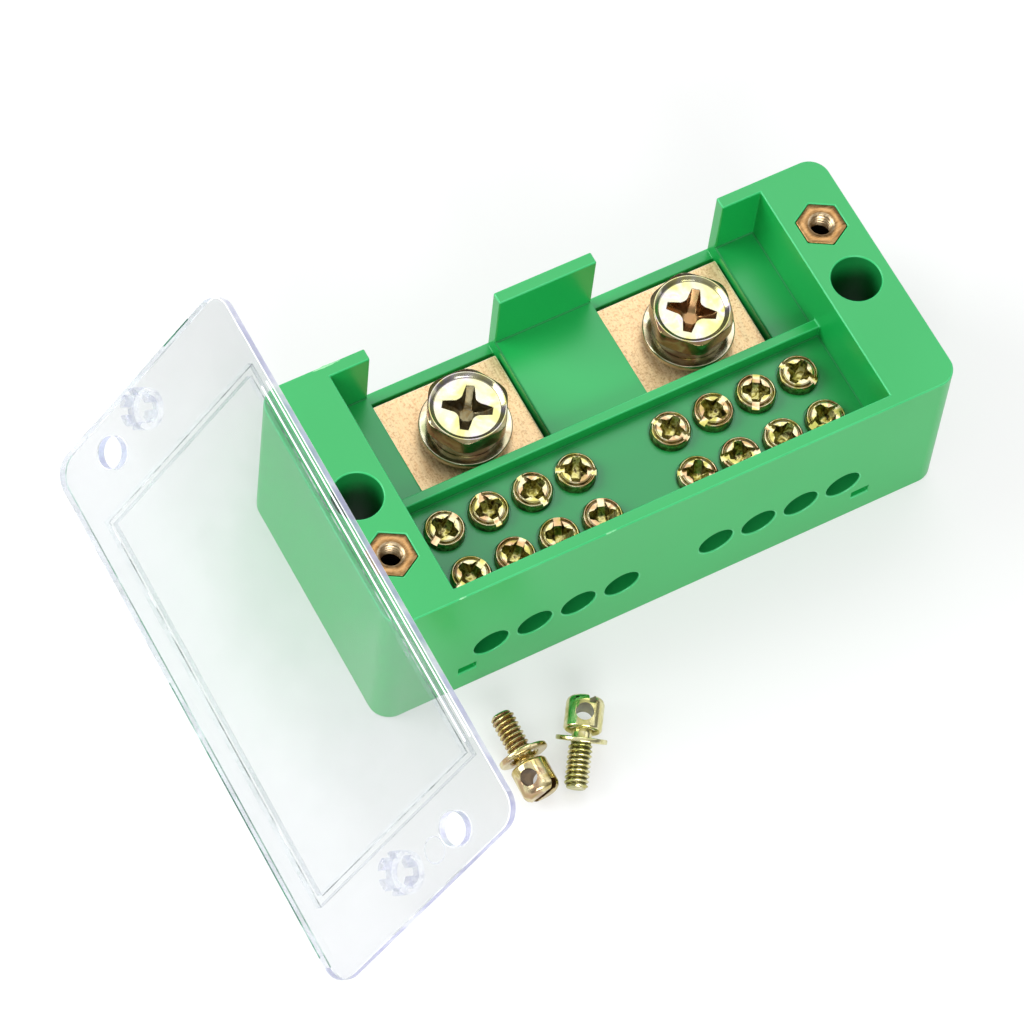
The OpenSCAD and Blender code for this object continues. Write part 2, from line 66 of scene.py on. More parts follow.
def new_object(name, bm):
    """Object in the scene from a bmesh, which is used up."""
    mesh = bpy.data.meshes.new(name)
    bm.to_mesh(mesh)
    bm.free()
    obj = bpy.data.objects.new(name, mesh)
    scene.collection.objects.link(obj)
    return obj


def discard(obj):
    """Removes obj and its mesh."""
    mesh = obj.data
    bpy.data.objects.remove(obj)
    bpy.data.meshes.remove(mesh)


def loft(rings, loop=False):
    """Skin over rings of equal length, capped at both ends or, with loop, joined end to end."""
    bm = bmesh.new()
    rows = [[bm.verts.new(Vector(p) * MM) for p in ring] for ring in rings]
    n = len(rows[0])
    pairs = list(zip(rows, rows[1:]))
    if loop:
        pairs.append((rows[-1], rows[0]))
    for a, b in pairs:
        for i in range(n):
            j = (i + 1) % n
            bm.faces.new((a[i], a[j], b[j], b[i]))
    if not loop:
        bm.faces.new(rows[0][::-1])
        bm.faces.new(rows[-1])
    bmesh.ops.recalc_face_normals(bm, faces=bm.faces)
    return bm


def circle(r, z, n):
    """Ring of n points."""
    return [(r * math.cos(2 * math.pi * i / n), r * math.sin(2 * math.pi * i / n), z) for i in range(n)]


def rounded_profile(points, r):
    """Profile of (radius, height) points with its inner corners rounded by r."""
    steps, most_of_side = 3, 0.45
    out = [points[0]]
    for a, b, c in zip(points, points[1:], points[2:]):
        b = Vector(b)
        u, v = Vector(a) - b, Vector(c) - b
        reach = min(r, u.length * most_of_side, v.length * most_of_side)
        p, q = b + u.normalized() * reach, b + v.normalized() * reach
        for k in range(steps + 1):
            t = k / steps
            out.append(tuple(p * (1 - t) ** 2 + b * 2 * t * (1 - t) + q * t ** 2))
    out.append(points[-1])
    return out


def lathe(points, n=64, round_by=0.0, loop=False):
    """Body turned from a profile of (radius, height) points; loop closes the profile into a ring."""
    if round_by and loop:
        points = rounded_profile([points[-1], *points, points[0]], round_by)[1:-1]
    elif round_by:
        points = rounded_profile(points, round_by)
    return loft([circle(r, z, n) for r, z in points], loop)


def hexagon_ring(af, z, n, corner=0.45):
    """Ring on a hexagon with rounded corners; z is a height or a function of the radius."""
    ring = []
    limit = af / math.sqrt(3) - corner
    blend = 0.4 * corner
    for i in range(n):
        a = 2 * math.pi * i / n
        off = (a + math.pi / 6) % (math.pi / 3) - math.pi / 6
        flat = af / 2 / math.cos(off)
        r = flat - blend * math.log(1 + math.exp((flat - limit) / blend))
        ring.append((r * math.cos(a), r * math.sin(a), z(r) if callable(z) else z))
    return ring


def star_ring(reach, tip_w, root_w, fillet, z):
    """Outline of a cross recess: four arms with rounded lobes between them."""
    ring = []
    arc, least, most_of_arm = 6, 0.02, 0.8
    fillet = max(least, min(fillet, (reach - root_w / 2) * most_of_arm))
    q = root_w / 2 + fillet
    for arm in range(4):
        turn = Matrix.Rotation(arm * math.pi / 2, 2)
        pts = [Vector((reach, -tip_w / 2)), Vector((reach, tip_w / 2))]
        for k in range(arc + 1):
            a = math.radians(270 - 90 * k / arc)
            pts.append(Vector((q + fillet * math.cos(a), q + fillet * math.sin(a))))
        for p in pts:
            p = turn @ p
            ring.append((p.x, p.y, z))
    return ring


def box_bm(low, high):
    """Box between two corners."""
    bm = bmesh.new()
    bmesh.ops.create_cube(bm, size=1)
    low, high = Vector(low) * MM, Vector(high) * MM
    size, mid = high - low, (low + high) / 2
    bmesh.ops.transform(bm, matrix=Matrix.Translation(mid) @ Matrix.Diagonal((*size, 1)), verts=bm.verts)
    return bm


def cut(obj, *cutters):
    """Takes the cutters away from obj."""
    for c in cutters:
        mod = obj.modifiers.new("cut", "BOOLEAN")
        mod.operation = "DIFFERENCE"
        mod.solver = "EXACT"
        mod.object = c
    dg = bpy.context.evaluated_depsgraph_get()
    dg.update()
    made = bpy.data.meshes.new_from_object(obj.evaluated_get(dg))
    old = obj.data
    obj.modifiers.clear()
    obj.data = made
    bpy.data.meshes.remove(old)
    for c in cutters:
        discard(c)
    return obj


def ease(obj, width, segments=2, angle=28, flatten=True, spare=lambda e: False):
    """Rounds the edges that turn by more than angle, save spare ones and those by a very short edge."""
    weld, flat_within, short = 2e-6, math.radians(0.4), 1.2 * width * MM
    bm = bmesh.new()
    bm.from_mesh(obj.data)
    bmesh.ops.remove_doubles(bm, verts=bm.verts, dist=weld)
    if flatten:
        bmesh.ops.dissolve_limit(bm, angle_limit=flat_within, verts=bm.verts, edges=bm.edges,
                                 use_dissolve_boundaries=False)
    bm.normal_update()
    crowded = {v for e in bm.edges if e.calc_length() < short for v in e.verts}
    sharp = [e for e in bm.edges if len(e.link_faces) == 2 and e.calc_face_angle(0) > math.radians(angle)
             and not crowded.intersection(e.verts) and not spare(e)]
    bmesh.ops.bevel(bm, geom=sharp, offset=width * MM, offset_type="OFFSET", segments=segments,
                    profile=0.5, affect="EDGES", clamp_overlap=False)
    bm.to_mesh(obj.data)
    bm.free()
    return obj


def soften(obj, keep=40):
    """Smooth shading that keeps flat faces flat, and edges sharp that turn by keep degrees or more."""
    bm = bmesh.new()
    bm.from_mesh(obj.data)
    for f in bm.faces:
        f.smooth = True
    for e in bm.edges:
        e.smooth = len(e.link_faces) == 2 and e.calc_face_angle(0) < math.radians(keep)
    bm.to_mesh(obj.data)
    bm.free()
    mod = obj.modifiers.new("even_shading", "WEIGHTED_NORMAL")
    mod.keep_sharp = True
    return obj


def merge(name, objs):
    """One object from several."""
    bm = bmesh.new()
    for o in objs:
        part = o.data.copy()
        part.transform(o.matrix_world)
        bm.from_mesh(part)
        bpy.data.meshes.remove(part)
    for o in objs:
        discard(o)
    return new_object(name, bm)


def place(obj, matrix):
    """Moves the mesh of obj."""
    obj.data.transform(matrix)
    return obj


def shift(x, y, z):
    """Move in millimetres."""
    return Matrix.Translation(Vector((x, y, z)) * MM)


def turned(angle, axis="Z"):
    """Turn in degrees."""
    return Matrix.Rotation(math.radians(angle), 4, axis)


def from_node(node, width, **easing):
    """Eased copy of a CAD node."""
    bm = bmesh.new()
    bm.from_mesh(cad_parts[node].data)
    return soften(ease(new_object("eased_" + node, bm), width, **easing))


def paint(obj, index, test=lambda p, n: True):
    """Gives the faces for which test(middle in millimetres, normal) holds another of the piece's looks."""
    for f in obj.data.polygons:
        if test(f.center / MM, f.normal):
            f.material_index = index
    return obj


def finish_piece(obj, node, slot, *looks):
    """Puts obj in place of a CAD node, which it hides, with its looks in the order of their paint indices.
    """
    obj.name = node + "_look"
    for look in looks:
        obj.data.materials.append(look)
    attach(obj, "root")
    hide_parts(node)
    return obj


# Material helpers

def set_stops(color_ramp, stops):
    """Gives a colour ramp its (position, colour) stops, in rising order."""
    elements = color_ramp.elements
    while len(elements) < len(stops):
        elements.new(0.5)
    for element, (position, colour) in zip(elements, stops):
        element.position = position
        element.color = (*colour, 1)


class Tree:
    """Small builder for a node material."""

    def __init__(self, name):
        self.material = bpy.data.materials.new(name)
        self.material.use_nodes = True
        self.tree = self.material.node_tree
        self.tree.nodes.clear()
        self.out = self.tree.nodes.new("ShaderNodeOutputMaterial")
        coords = self.tree.nodes.new("ShaderNodeTexCoord")
        self.coords = coords.outputs["Object"]

    def node(self, kind, inputs=None, out=0, **props):
        """Adds a node and returns one of its outputs."""
        n = self.tree.nodes.new(kind)
        for k, v in props.items():
            setattr(n, k, v)
        for k, v in (inputs or {}).items():
            if isinstance(v, bpy.types.NodeSocket):
                self.tree.links.new(v, n.inputs[k])
            else:
                n.inputs[k].default_value = v
        return n.outputs[out]

    def noise(self, scale, detail=3.0, rough=0.55, stretch=None, distortion=0.0):
        where = self.coords
        if stretch:
            where = self.node("ShaderNodeMapping", {"Vector": where, "Scale": stretch})
        return self.node("ShaderNodeTexNoise", {"Vector": where, "Scale": scale, "Detail": detail,
                                                "Roughness": rough, "Distortion": distortion})

    def ramp(self, value, stops):
        out = self.node("ShaderNodeValToRGB", {"Fac": value})
        set_stops(out.node.color_ramp, stops)
        return out

    def span(self, value, low, high):
        """Spreads the middle range of a noise over low to high."""
        return self.node("ShaderNodeMapRange", {"Value": value, "From Min": 0.3, "From Max": 0.7,
                                                "To Min": low, "To Max": high},
                         interpolation_type="SMOOTHSTEP")

    def mix(self, fac, a, b):
        n = self.tree.nodes.new("ShaderNodeMix")
        n.data_type = "RGBA"
        for key, v in (("Factor_Float", fac), ("A_Color", a), ("B_Color", b)):
            s = next(s for s in n.inputs if s.identifier == key)
            if isinstance(v, bpy.types.NodeSocket):
                self.tree.links.new(v, s)
            else:
                s.default_value = v if key == "Factor_Float" else (*v, 1)
        return next(s for s in n.outputs if s.identifier == "Result_Color")

    def bump(self, height, strength, distance):
        return self.node("ShaderNodeBump", {"Height": height, "Strength": strength, "Distance": distance})

    def principled(self, **inputs):
        return self.node("ShaderNodeBsdfPrincipled", {k.replace("_", " "): v for k, v in inputs.items()})

    def blend(self, fac, first, second):
        return self.node("ShaderNodeMixShader", {0: fac, 1: first, 2: second})

    def done(self, shader):
        self.tree.links.new(shader, self.out.inputs["Surface"])
        return self.material


# Materials

def green_plastic(name, dark, pale, rough=(0.29, 0.34)):
    """Moulded plastic, faintly uneven in colour and gloss."""
    t = Tree(name)
    colour = t.mix(t.span(t.noise(30, 1), 0, 1), dark, pale)
    return t.done(t.principled(Base_Color=colour, Roughness=t.span(t.noise(25, 1), *rough), IOR=1.54,
                               Specular_Tint=(0.80, 0.86, 1.0, 1)))


def zinc(name, scale, stops, rough=(0.12, 0.26)):
    """Yellow zinc plating: a film that changes colour in patches, over a fine grain."""
    t = Tree(name)
    film = t.ramp(t.noise(scale, 2.5, 0.5, distortion=0.6), stops)
    grain = t.noise(1500, 3, 0.6)
    return t.done(t.principled(
        Base_Color=t.mix(t.span(grain, 0.0, 0.16), film, (0.30, 0.24, 0.10)), Metallic=1.0,
        Roughness=t.span(t.noise(420, 3), *rough), Normal=t.bump(grain, 0.12, 0.00004)))


def bar_metal():
    """Brushed and speckled bars, with painted shade where they run on under the floor."""
    dark_y, bright_y = 0.6 * MM, 1.0 * MM
    t = Tree("bar_metal")
    brush = t.noise(1.0, 4, 0.6, stretch=(2600, 240, 2600))
    speck = t.noise(3000, 2, 0.5)
    base = t.mix(t.span(brush, 0, 1), (0.74, 0.50, 0.26), (0.95, 0.72, 0.43))
    base = t.mix(t.span(speck, -0.8, 0.75), base, (0.56, 0.32, 0.15))
    y = t.node("ShaderNodeSeparateXYZ", {"Vector": t.coords}, out="Y")
    # Painted shade: the bars go near black from the rib forward, under the floor
    painted_shade_under_floor = t.node("ShaderNodeMapRange", {"Value": y, "From Min": dark_y, "From Max": bright_y,
                                           "To Min": 1.0, "To Max": 0.0})
    base = t.mix(painted_shade_under_floor, base, (0.020, 0.014, 0.008))
    return t.done(t.principled(Base_Color=base, Metallic=0.6, Roughness=t.span(brush, 0.36, 0.5),
                               Normal=t.bump(brush, 0.2, 0.00004)))


def bar_edge():
    """Worn edges of the bars."""
    t = Tree("bar_edge")
    worn = t.noise(500, 2)
    base = t.mix(t.span(worn, 0, 1), (0.90, 0.72, 0.48), (0.97, 0.86, 0.64))
    return t.done(t.principled(Base_Color=base, Metallic=0.5, Roughness=t.span(worn, 0.32, 0.42)))


def insert_brass(name, dark, pale):
    """Brass with the marks of the tool."""
    t = Tree(name)
    tool = t.noise(1.0, 3, 0.6, stretch=(700, 1900, 700), distortion=1.2)
    base = t.mix(t.span(tool, 0, 1), dark, pale)
    return t.done(t.principled(Base_Color=base, Metallic=1.0, Roughness=t.span(tool, 0.28, 0.42),
                               Normal=t.bump(tool, 0.25, 0.00005)))


def lets_light_through(t, shader, shade):
    """The shader for sight, and plain tinted air for the light that passes."""
    air = t.node("ShaderNodeBsdfTransparent", {"Color": (*shade, 1)})
    return t.blend(t.node("ShaderNodeLightPath", out="Is Shadow Ray"), shader, air)


def clear_plastic():
    """Flat faces of the cover: seen through, with a soft gloss and a faint haze."""
    t = Tree("clear_plastic")
    wave = t.noise(60, 2)
    tint = t.mix(t.span(wave, 0, 1), (0.935, 0.933, 0.943), (0.945, 0.942, 0.952))
    through = t.node("ShaderNodeBsdfTransparent", {"Color": tint})
    haze = t.node("ShaderNodeBsdfTranslucent", {"Color": (0.95, 0.96, 0.98, 1)})
    gloss = t.node("ShaderNodeBsdfGlossy", {"Color": (0.97, 0.98, 1, 1), "Roughness": 0.06,
                                            "Normal": t.bump(wave, 0.03, 0.0001)})
    body = t.blend(t.span(t.noise(90, 2), 0.11, 0.15), through, haze)
    facing = t.node("ShaderNodeLayerWeight", {"Blend": 0.5}, out="Facing")
    glance = t.node("ShaderNodeMath", {0: facing, 1: 5.0}, operation="POWER")
    mirror = t.node("ShaderNodeMath", {0: glance, 1: 0.96, 2: 0.04}, operation="MULTIPLY_ADD")
    return t.done(lets_light_through(t, t.blend(mirror, body, gloss), (0.97, 0.98, 0.975)))


def painted_cover_glow(name, scale, stops, body):
    """Edges and lines of the cover with painted glow, reflections and refracted tints; body is the least
    and most that hides what is behind.
    """
    t = Tree(name)
    band = t.noise(scale, 3, 0.6)
    through = t.node("ShaderNodeBsdfTransparent", {"Color": (0.94, 0.95, 0.97, 1)})
    glow = t.principled(Base_Color=t.ramp(band, stops), Roughness=0.08, IOR=1.49)
    seen = t.blend(t.span(t.noise(scale * 1.7, 3, 0.6), *body), through, glow)
    return t.done(lets_light_through(t, seen, (0.92, 0.93, 0.95)))


def floor_white():
    """Pale floor, lifted half way to white where it is seen, straight or in metal and clear plastic."""
    t = Tree("floor_white")
    colour = t.mix(t.span(t.noise(8, 2), 0, 1), (0.795, 0.800, 0.795), (0.805, 0.808, 0.805))
    lit = t.principled(Base_Color=colour, Roughness=0.9, Specular_IOR_Level=0.0)
    paper = t.node("ShaderNodeEmission", {"Color": (1, 1, 1, 1), "Strength": 1.0})
    sight = t.node("ShaderNodeLightPath", out="Is Camera Ray")
    for ray in ("Is Glossy Ray", "Is Transmission Ray"):
        other = t.node("ShaderNodeLightPath", out=ray)
        sight = t.node("ShaderNodeMath", {0: sight, 1: other}, operation="MAXIMUM")
    return t.done(t.blend(sight, lit, t.blend(0.5, lit, paper)))


GREEN = green_plastic("green_plastic", (0.006, 0.335, 0.060), (0.009, 0.360, 0.070))
GREEN_EDGE_HIGHLIGHT = green_plastic("green_edge_highlight", (0.030, 0.44, 0.125), (0.060, 0.50, 0.170))
GREEN_FLASH = green_plastic("green_flash", (0.22, 0.60, 0.28), (0.42, 0.74, 0.46), (0.35, 0.45))
GREEN_BORE_SHADE = green_plastic("green_bore_shade", (0.005, 0.190, 0.038), (0.007, 0.230, 0.048), (0.4, 0.5))
GREEN_FLOOR_SHADE = green_plastic("green_floor_shade", (0.005, 0.285, 0.052), (0.008, 0.310, 0.061))
GREEN_NOOK_SHADE = green_plastic("green_nook_shade", (0.004, 0.200, 0.040), (0.007, 0.230, 0.048), (0.75, 0.85))
GREEN_WAY_SHADE = green_plastic("green_way_shade", (0.004, 0.190, 0.038), (0.007, 0.230, 0.048))
BOLT_ZINC = zinc("zinc_bolt", 210, (
    (0.30, (0.33, 0.34, 0.13)), (0.42, (0.40, 0.38, 0.16)), (0.52, (0.41, 0.40, 0.29)),
    (0.60, (0.37, 0.33, 0.38)), (0.69, (0.39, 0.36, 0.11))), (0.10, 0.2))
SCREW_ZINC = zinc("zinc_screw", 330, (
    (0.30, (0.22, 0.22, 0.05)), (0.42, (0.38, 0.34, 0.11)), (0.51, (0.48, 0.45, 0.28)),
    (0.60, (0.36, 0.23, 0.13)), (0.71, (0.24, 0.19, 0.05))))
SCREW_SIDE = zinc("zinc_screw_side", 700, (
    (0.34, (0.13, 0.10, 0.04)), (0.46, (0.36, 0.29, 0.11)), (0.56, (0.58, 0.52, 0.27)),
    (0.66, (0.22, 0.17, 0.06))), (0.35, 0.45))
# Darker copy of the bolt's zinc: painted shade on the flanks of the heads and on the spring washers
BOLT_SIDE_SHADE = zinc("zinc_bolt_side_shade", 190, (
    (0.30, (0.13, 0.17, 0.06)), (0.42, (0.27, 0.21, 0.10)), (0.50, (0.34, 0.33, 0.20)),
    (0.58, (0.24, 0.13, 0.08)), (0.70, (0.28, 0.27, 0.09))), (0.14, 0.26))
WASHER_ZINC = zinc("zinc_washer", 190, (
    (0.30, (0.26, 0.29, 0.16)), (0.45, (0.52, 0.50, 0.38)), (0.58, (0.34, 0.27, 0.18)),
    (0.70, (0.40, 0.40, 0.26))), (0.14, 0.26))
# Dark zinc for the bolts' cross recesses: painted shade, greyer in the left bolt and browner in the right
GREY_RECESS_SHADE = zinc("zinc_grey_recess_shade", 520, (
    (0.3, (0.06, 0.05, 0.025)), (0.46, (0.17, 0.15, 0.09)), (0.56, (0.12, 0.08, 0.03)),
    (0.7, (0.24, 0.22, 0.16))), (0.32, 0.42))
BOLT_RECESS_SHADE = zinc("zinc_bolt_recess_shade", 300, (
    (0.3, (0.20, 0.10, 0.035)), (0.5, (0.30, 0.17, 0.08)), (0.7, (0.16, 0.12, 0.05))), (0.2, 0.35))
# Near-black zinc with fine flecks: painted shade in the clamp screws' recesses
SCREW_RECESS_SHADE = zinc("zinc_screw_recess_shade", 900, (
    (0.34, (0.02, 0.02, 0.006)), (0.45, (0.22, 0.19, 0.03)), (0.54, (0.48, 0.45, 0.18)),
    (0.64, (0.07, 0.05, 0.02))), (0.29, 0.40))
WARM_ZINC = zinc("zinc_warm", 300, (
    (0.32, (0.42, 0.31, 0.09)), (0.44, (0.62, 0.50, 0.22)), (0.54, (0.72, 0.63, 0.37)),
    (0.64, (0.50, 0.33, 0.20)), (0.74, (0.34, 0.29, 0.07))))
PALE_ZINC = zinc("zinc_pale", 300, (
    (0.32, (0.36, 0.39, 0.12)), (0.46, (0.72, 0.66, 0.29)), (0.56, (0.82, 0.77, 0.46)),
    (0.70, (0.50, 0.46, 0.16))))
# Dark zinc: painted shade in the seal screws' thread valleys, seal holes and slots
WARM_VALLEY_SHADE = zinc("zinc_warm_valley_shade", 400, (
    (0.35, (0.16, 0.09, 0.04)), (0.65, (0.30, 0.19, 0.09))), (0.3, 0.4))
PALE_VALLEY_SHADE = zinc("zinc_pale_valley_shade", 400, (
    (0.35, (0.12, 0.12, 0.04)), (0.65, (0.26, 0.24, 0.10))), (0.3, 0.4))
COPPER = bar_metal()
COPPER_EDGE = bar_edge()
BRASS = insert_brass("insert_brass", (0.28, 0.145, 0.050), (0.50, 0.300, 0.130))
BRASS_THREAD = insert_brass("insert_thread", (0.42, 0.29, 0.16), (0.68, 0.54, 0.34))
BRASS_DEEP_SHADE = insert_brass("insert_deep_shade", (0.010, 0.006, 0.003), (0.022, 0.013, 0.006))
CLEAR = clear_plastic()
# Painted glow, reflections and refracted tints for the cover's rim, frame, collars and lines
CLEAR_EDGE = painted_cover_glow("painted_cover_glow", 120, (
    (0.36, (0.46, 0.46, 0.68)), (0.50, (0.58, 0.58, 0.80)), (0.64, (0.84, 0.85, 0.92))), (0.65, 0.9))
CLEAR_LINE = painted_cover_glow("clear_line", 150, (
    (0.40, (0.30, 0.33, 0.34)), (0.56, (0.80, 0.82, 0.86))), (0.4, 0.75))
FRAME_EDGE = painted_cover_glow("frame_edge", 130, (
    (0.38, (0.46, 0.49, 0.52)), (0.60, (0.72, 0.74, 0.80))), (0.10, 0.35))
FRAME_LINE = painted_cover_glow("frame_line", 140, (
    (0.42, (0.05, 0.08, 0.07)), (0.54, (0.28, 0.32, 0.31)), (0.66, (0.85, 0.86, 0.88))), (0.35, 0.95))
WHITE_LINE = painted_cover_glow("white_line", 150, (
    (0.40, (0.86, 0.88, 0.90)), (0.60, (0.96, 0.96, 0.97))), (0.70, 0.97))
LOW_EDGE = painted_cover_glow("low_edge", 120, (
    (0.36, (0.26, 0.26, 0.44)), (0.50, (0.38, 0.38, 0.60)), (0.64, (0.62, 0.63, 0.74))), (0.65, 0.9))
GREEN_LINE = painted_cover_glow("green_line", 110, (
    (0.42, (0.004, 0.10, 0.05)), (0.56, (0.05, 0.22, 0.13)), (0.68, (0.5, 0.6, 0.58))), (0.60, 1.0))
PALE_EDGE = painted_cover_glow("pale_edge", 140, (
    (0.36, (0.32, 0.35, 0.38)), (0.48, (0.58, 0.59, 0.70)), (0.62, (0.84, 0.85, 0.91))), (0.20, 0.55))
COLLAR_EDGE = painted_cover_glow("collar_edge", 330, (
    (0.38, (0.30, 0.31, 0.44)), (0.50, (0.60, 0.60, 0.76)), (0.60, (0.9, 0.9, 0.95))), (0.02, 0.38))


# Housing, base plate and bars

EDGE, BORE, FLASH, WAY, WELL_FLOOR, NOOK = range(1, 7)
WORN = 1
NOOK_LOW, NOOK_HIGH = FLOOR_Z - 1.8, FLOOR_Z + 1.2
OUTER_Y = HALF_W - 0.5
RIB_Y = -1.5
RIGHT_END_X = BAR_X + 8
WIRE_END_Y = -18
HOLE_SLACK, HOLE_RIM = 0.1, 0.4
SEAT_IN, SEAT_OUT, SEAT_LOW, SEAT_TOP = 3.40, 3.75, -0.6, -0.2
SEAT_REACH = 4.2
PAD_FRONT_Y = 1.0
FLOOR_SLACK, RIM_SLACK = 0.4, 0.05

# How much of a normal lies along a main way: of straight faces, of upward ones and of faces aside from it
STRAIGHT, UPWARD, ASIDE, LEVEL = 0.985, 0.9, 0.2, 0.02


def way_x(way):
    """Place along the block of a wire way, counted from the left."""
    return (BAR_X if way >= WAYS_PER_BAR else -BAR_X) + (way % WAYS_PER_BAR - 1.5) * WAY_PITCH


CLAMP_SPOTS = [(way_x(way), y) for way in WAYS for y in CLAMP_ROWS]

# Worn spots and mould flash on the upper edges: x, y, z, length, width and height
FLASH_MARKS = (
    (-39.6, HALF_W - 0.25, BLOCK_H - 0.03, 5.6, 0.5, 0.14),
    (-39.2, 0.12 - HALF_W, BLOCK_H - 0.12, 1.6, 0.3, 0.2),
    (-12.7, 0.12 - HALF_W, BLOCK_H - 0.12, 2.2, 0.3, 0.2),
)


def is_slanted(n):
    """True for rounded edges, which face none of the main ways and aren't upright."""
    return max(abs(n.x), abs(n.y), abs(n.z)) < STRAIGHT and abs(n.z) > LEVEL


def is_edge(p, n):
    """True for the outer rounded edges of the housing, which get a painted highlight."""
    return is_slanted(n) and (p.z > NOOK_HIGH or abs(p.y) > OUTER_Y)


def is_nook(p, n):
    """True for the rounded inner corners at the floor of the well, which get painted shade."""
    return is_slanted(n) and NOOK_LOW < p.z < NOOK_HIGH and abs(p.y) < OUTER_Y


def is_bore(p, n):
    """True for the walls of the mounting holes, which get painted shade."""
    inside = math.hypot(abs(p.x) - FIXING_X, p.y) < MOUNT_R + HOLE_SLACK
    return inside and p.z < BLOCK_H - HOLE_RIM and abs(n.z) < ASIDE


def is_way(p, n):
    """True for the walls of the wire holes, which get painted shade."""
    aside = (abs(p.x) - BAR_X + 2 * WAY_PITCH) % WAY_PITCH - WAY_PITCH / 2
    inside = max(abs(aside), abs(p.z - WIRE_Z)) < WIRE_R + HOLE_SLACK
    return inside and HOLE_RIM - HALF_W < p.y < WIRE_END_Y and abs(n.y) < ASIDE


def is_low_floor(p, n):
    """True for the floor of the front half of the well and of its right end, which get painted shade."""
    return n.z > UPWARD and abs(p.z - FLOOR_Z) < FLOOR_SLACK and (p.y < RIB_Y or p.x > RIGHT_END_X)


def is_seat_rim(e):
    """True for the rims of the clamp screws' wells in the floor."""
    p = (e.verts[0].co + e.verts[1].co) / 2 / MM
    at_floor = abs(p.z - FLOOR_Z) < RIM_SLACK
    return at_floor and any(math.hypot(p.x - x, p.y - y) < SEAT_REACH for x, y in CLAMP_SPOTS)


def is_pad_edge(p, n):
    """True for the upper edges of a bar's bolt pad."""
    return p.y > PAD_FRONT_Y and ASIDE < n.z < 0.98


def flash(length, width, height, seed):
    """Thin uneven ridge along X, as left by the mould or a worn edge."""
    steps, least, foot = 14, 0.02, -0.1
    rings = []
    for k in range(steps + 1):
        t = k / steps
        wave = math.sin(seed + 9 * t) * math.cos(2 * seed + 17 * t)
        swell = math.sin(math.pi * t) ** 0.5 * (0.7 + 0.3 * wave)
        w, h = max(least, width * swell), max(least, height * swell)
        outline = ((-w / 2, foot), (w / 2, foot), (w / 2, h * 0.6), (0.1 * w, h), (-w / 2, h * 0.5))
        rings.append([(length * (t - 0.5), y, z) for y, z in outline])
    return paint(new_object("flash", loft(rings)), FLASH)


def seat_ring(x, y):
    """Narrow step of the floor round the head of a clamp screw, with the floor's painted shade."""
    section = [(SEAT_IN, SEAT_LOW), (SEAT_OUT, SEAT_LOW), (SEAT_OUT, SEAT_TOP), (SEAT_IN, SEAT_TOP)]
    ring = new_object("seat", lathe(section, 72, loop=True))
    return paint(place(ring, shift(x, y, FLOOR_Z)), WELL_FLOOR)


housing = from_node("housing", 0.25, spare=is_seat_rim)
# Paints a highlight on the outer rounded edges, and shade in the mounting holes, wire holes, low floor and
# inner corners
for index, test in ((EDGE, is_edge), (BORE, is_bore), (WAY, is_way), (WELL_FLOOR, is_low_floor),
                    (NOOK, is_nook)):
    paint(housing, index, test)
seats = [seat_ring(x, y) for x, y in CLAMP_SPOTS]
ridges = [place(flash(length, width, height, seed), shift(x, y, z))
          for seed, (x, y, z, length, width, height) in enumerate(FLASH_MARKS, 1)]
finish_piece(soften(merge("dressed", [housing, *seats, *ridges]), 50), "housing", "green_plastic",
             GREEN, GREEN_EDGE_HIGHLIGHT, GREEN_BORE_SHADE, GREEN_FLASH, GREEN_WAY_SHADE, GREEN_FLOOR_SHADE, GREEN_NOOK_SHADE)
finish_piece(from_node("base_plate", 0.12, segments=1), "base_plate", "green_plastic", GREEN)
for side in ("left", "right"):
    node = side + "_terminal_bar"
    finish_piece(paint(from_node(node, 0.2), WORN, is_pad_edge), node, "bar_metal", COPPER, COPPER_EDGE)


# Main bolts with their washers; they are loose, so the stack stands a little over the bars

RECESS, SIDE = 1, 2
FLAT_T = 1.2
SPRING_H = 2.0
FLAT_Z = BAR_TOP + 2.0
SPRING_Z = FLAT_Z + FLAT_T
HEAD_Z = SPRING_Z + SPRING_H


def cross_cutter(reach, tip_w, root_w, fillet, depth, top):
    """Tapered cutter for a cross recess that starts at height top."""
    # Share of the depth, and of the reach that is left there
    levels = ((-0.4, 1.0), (0.0, 1.0), (0.35, 0.80), (0.75, 0.52), (0.95, 0.34), (1.0, 0.22))
    rings = []
    for t, k in levels:
        w = 1 - 0.3 * max(0, t)
        arm = max(reach * k, tip_w * w * 0.62)
        rings.append(star_ring(arm, tip_w * w, root_w * w, fillet, top - depth * t))
    return new_object("cutter", loft(rings))


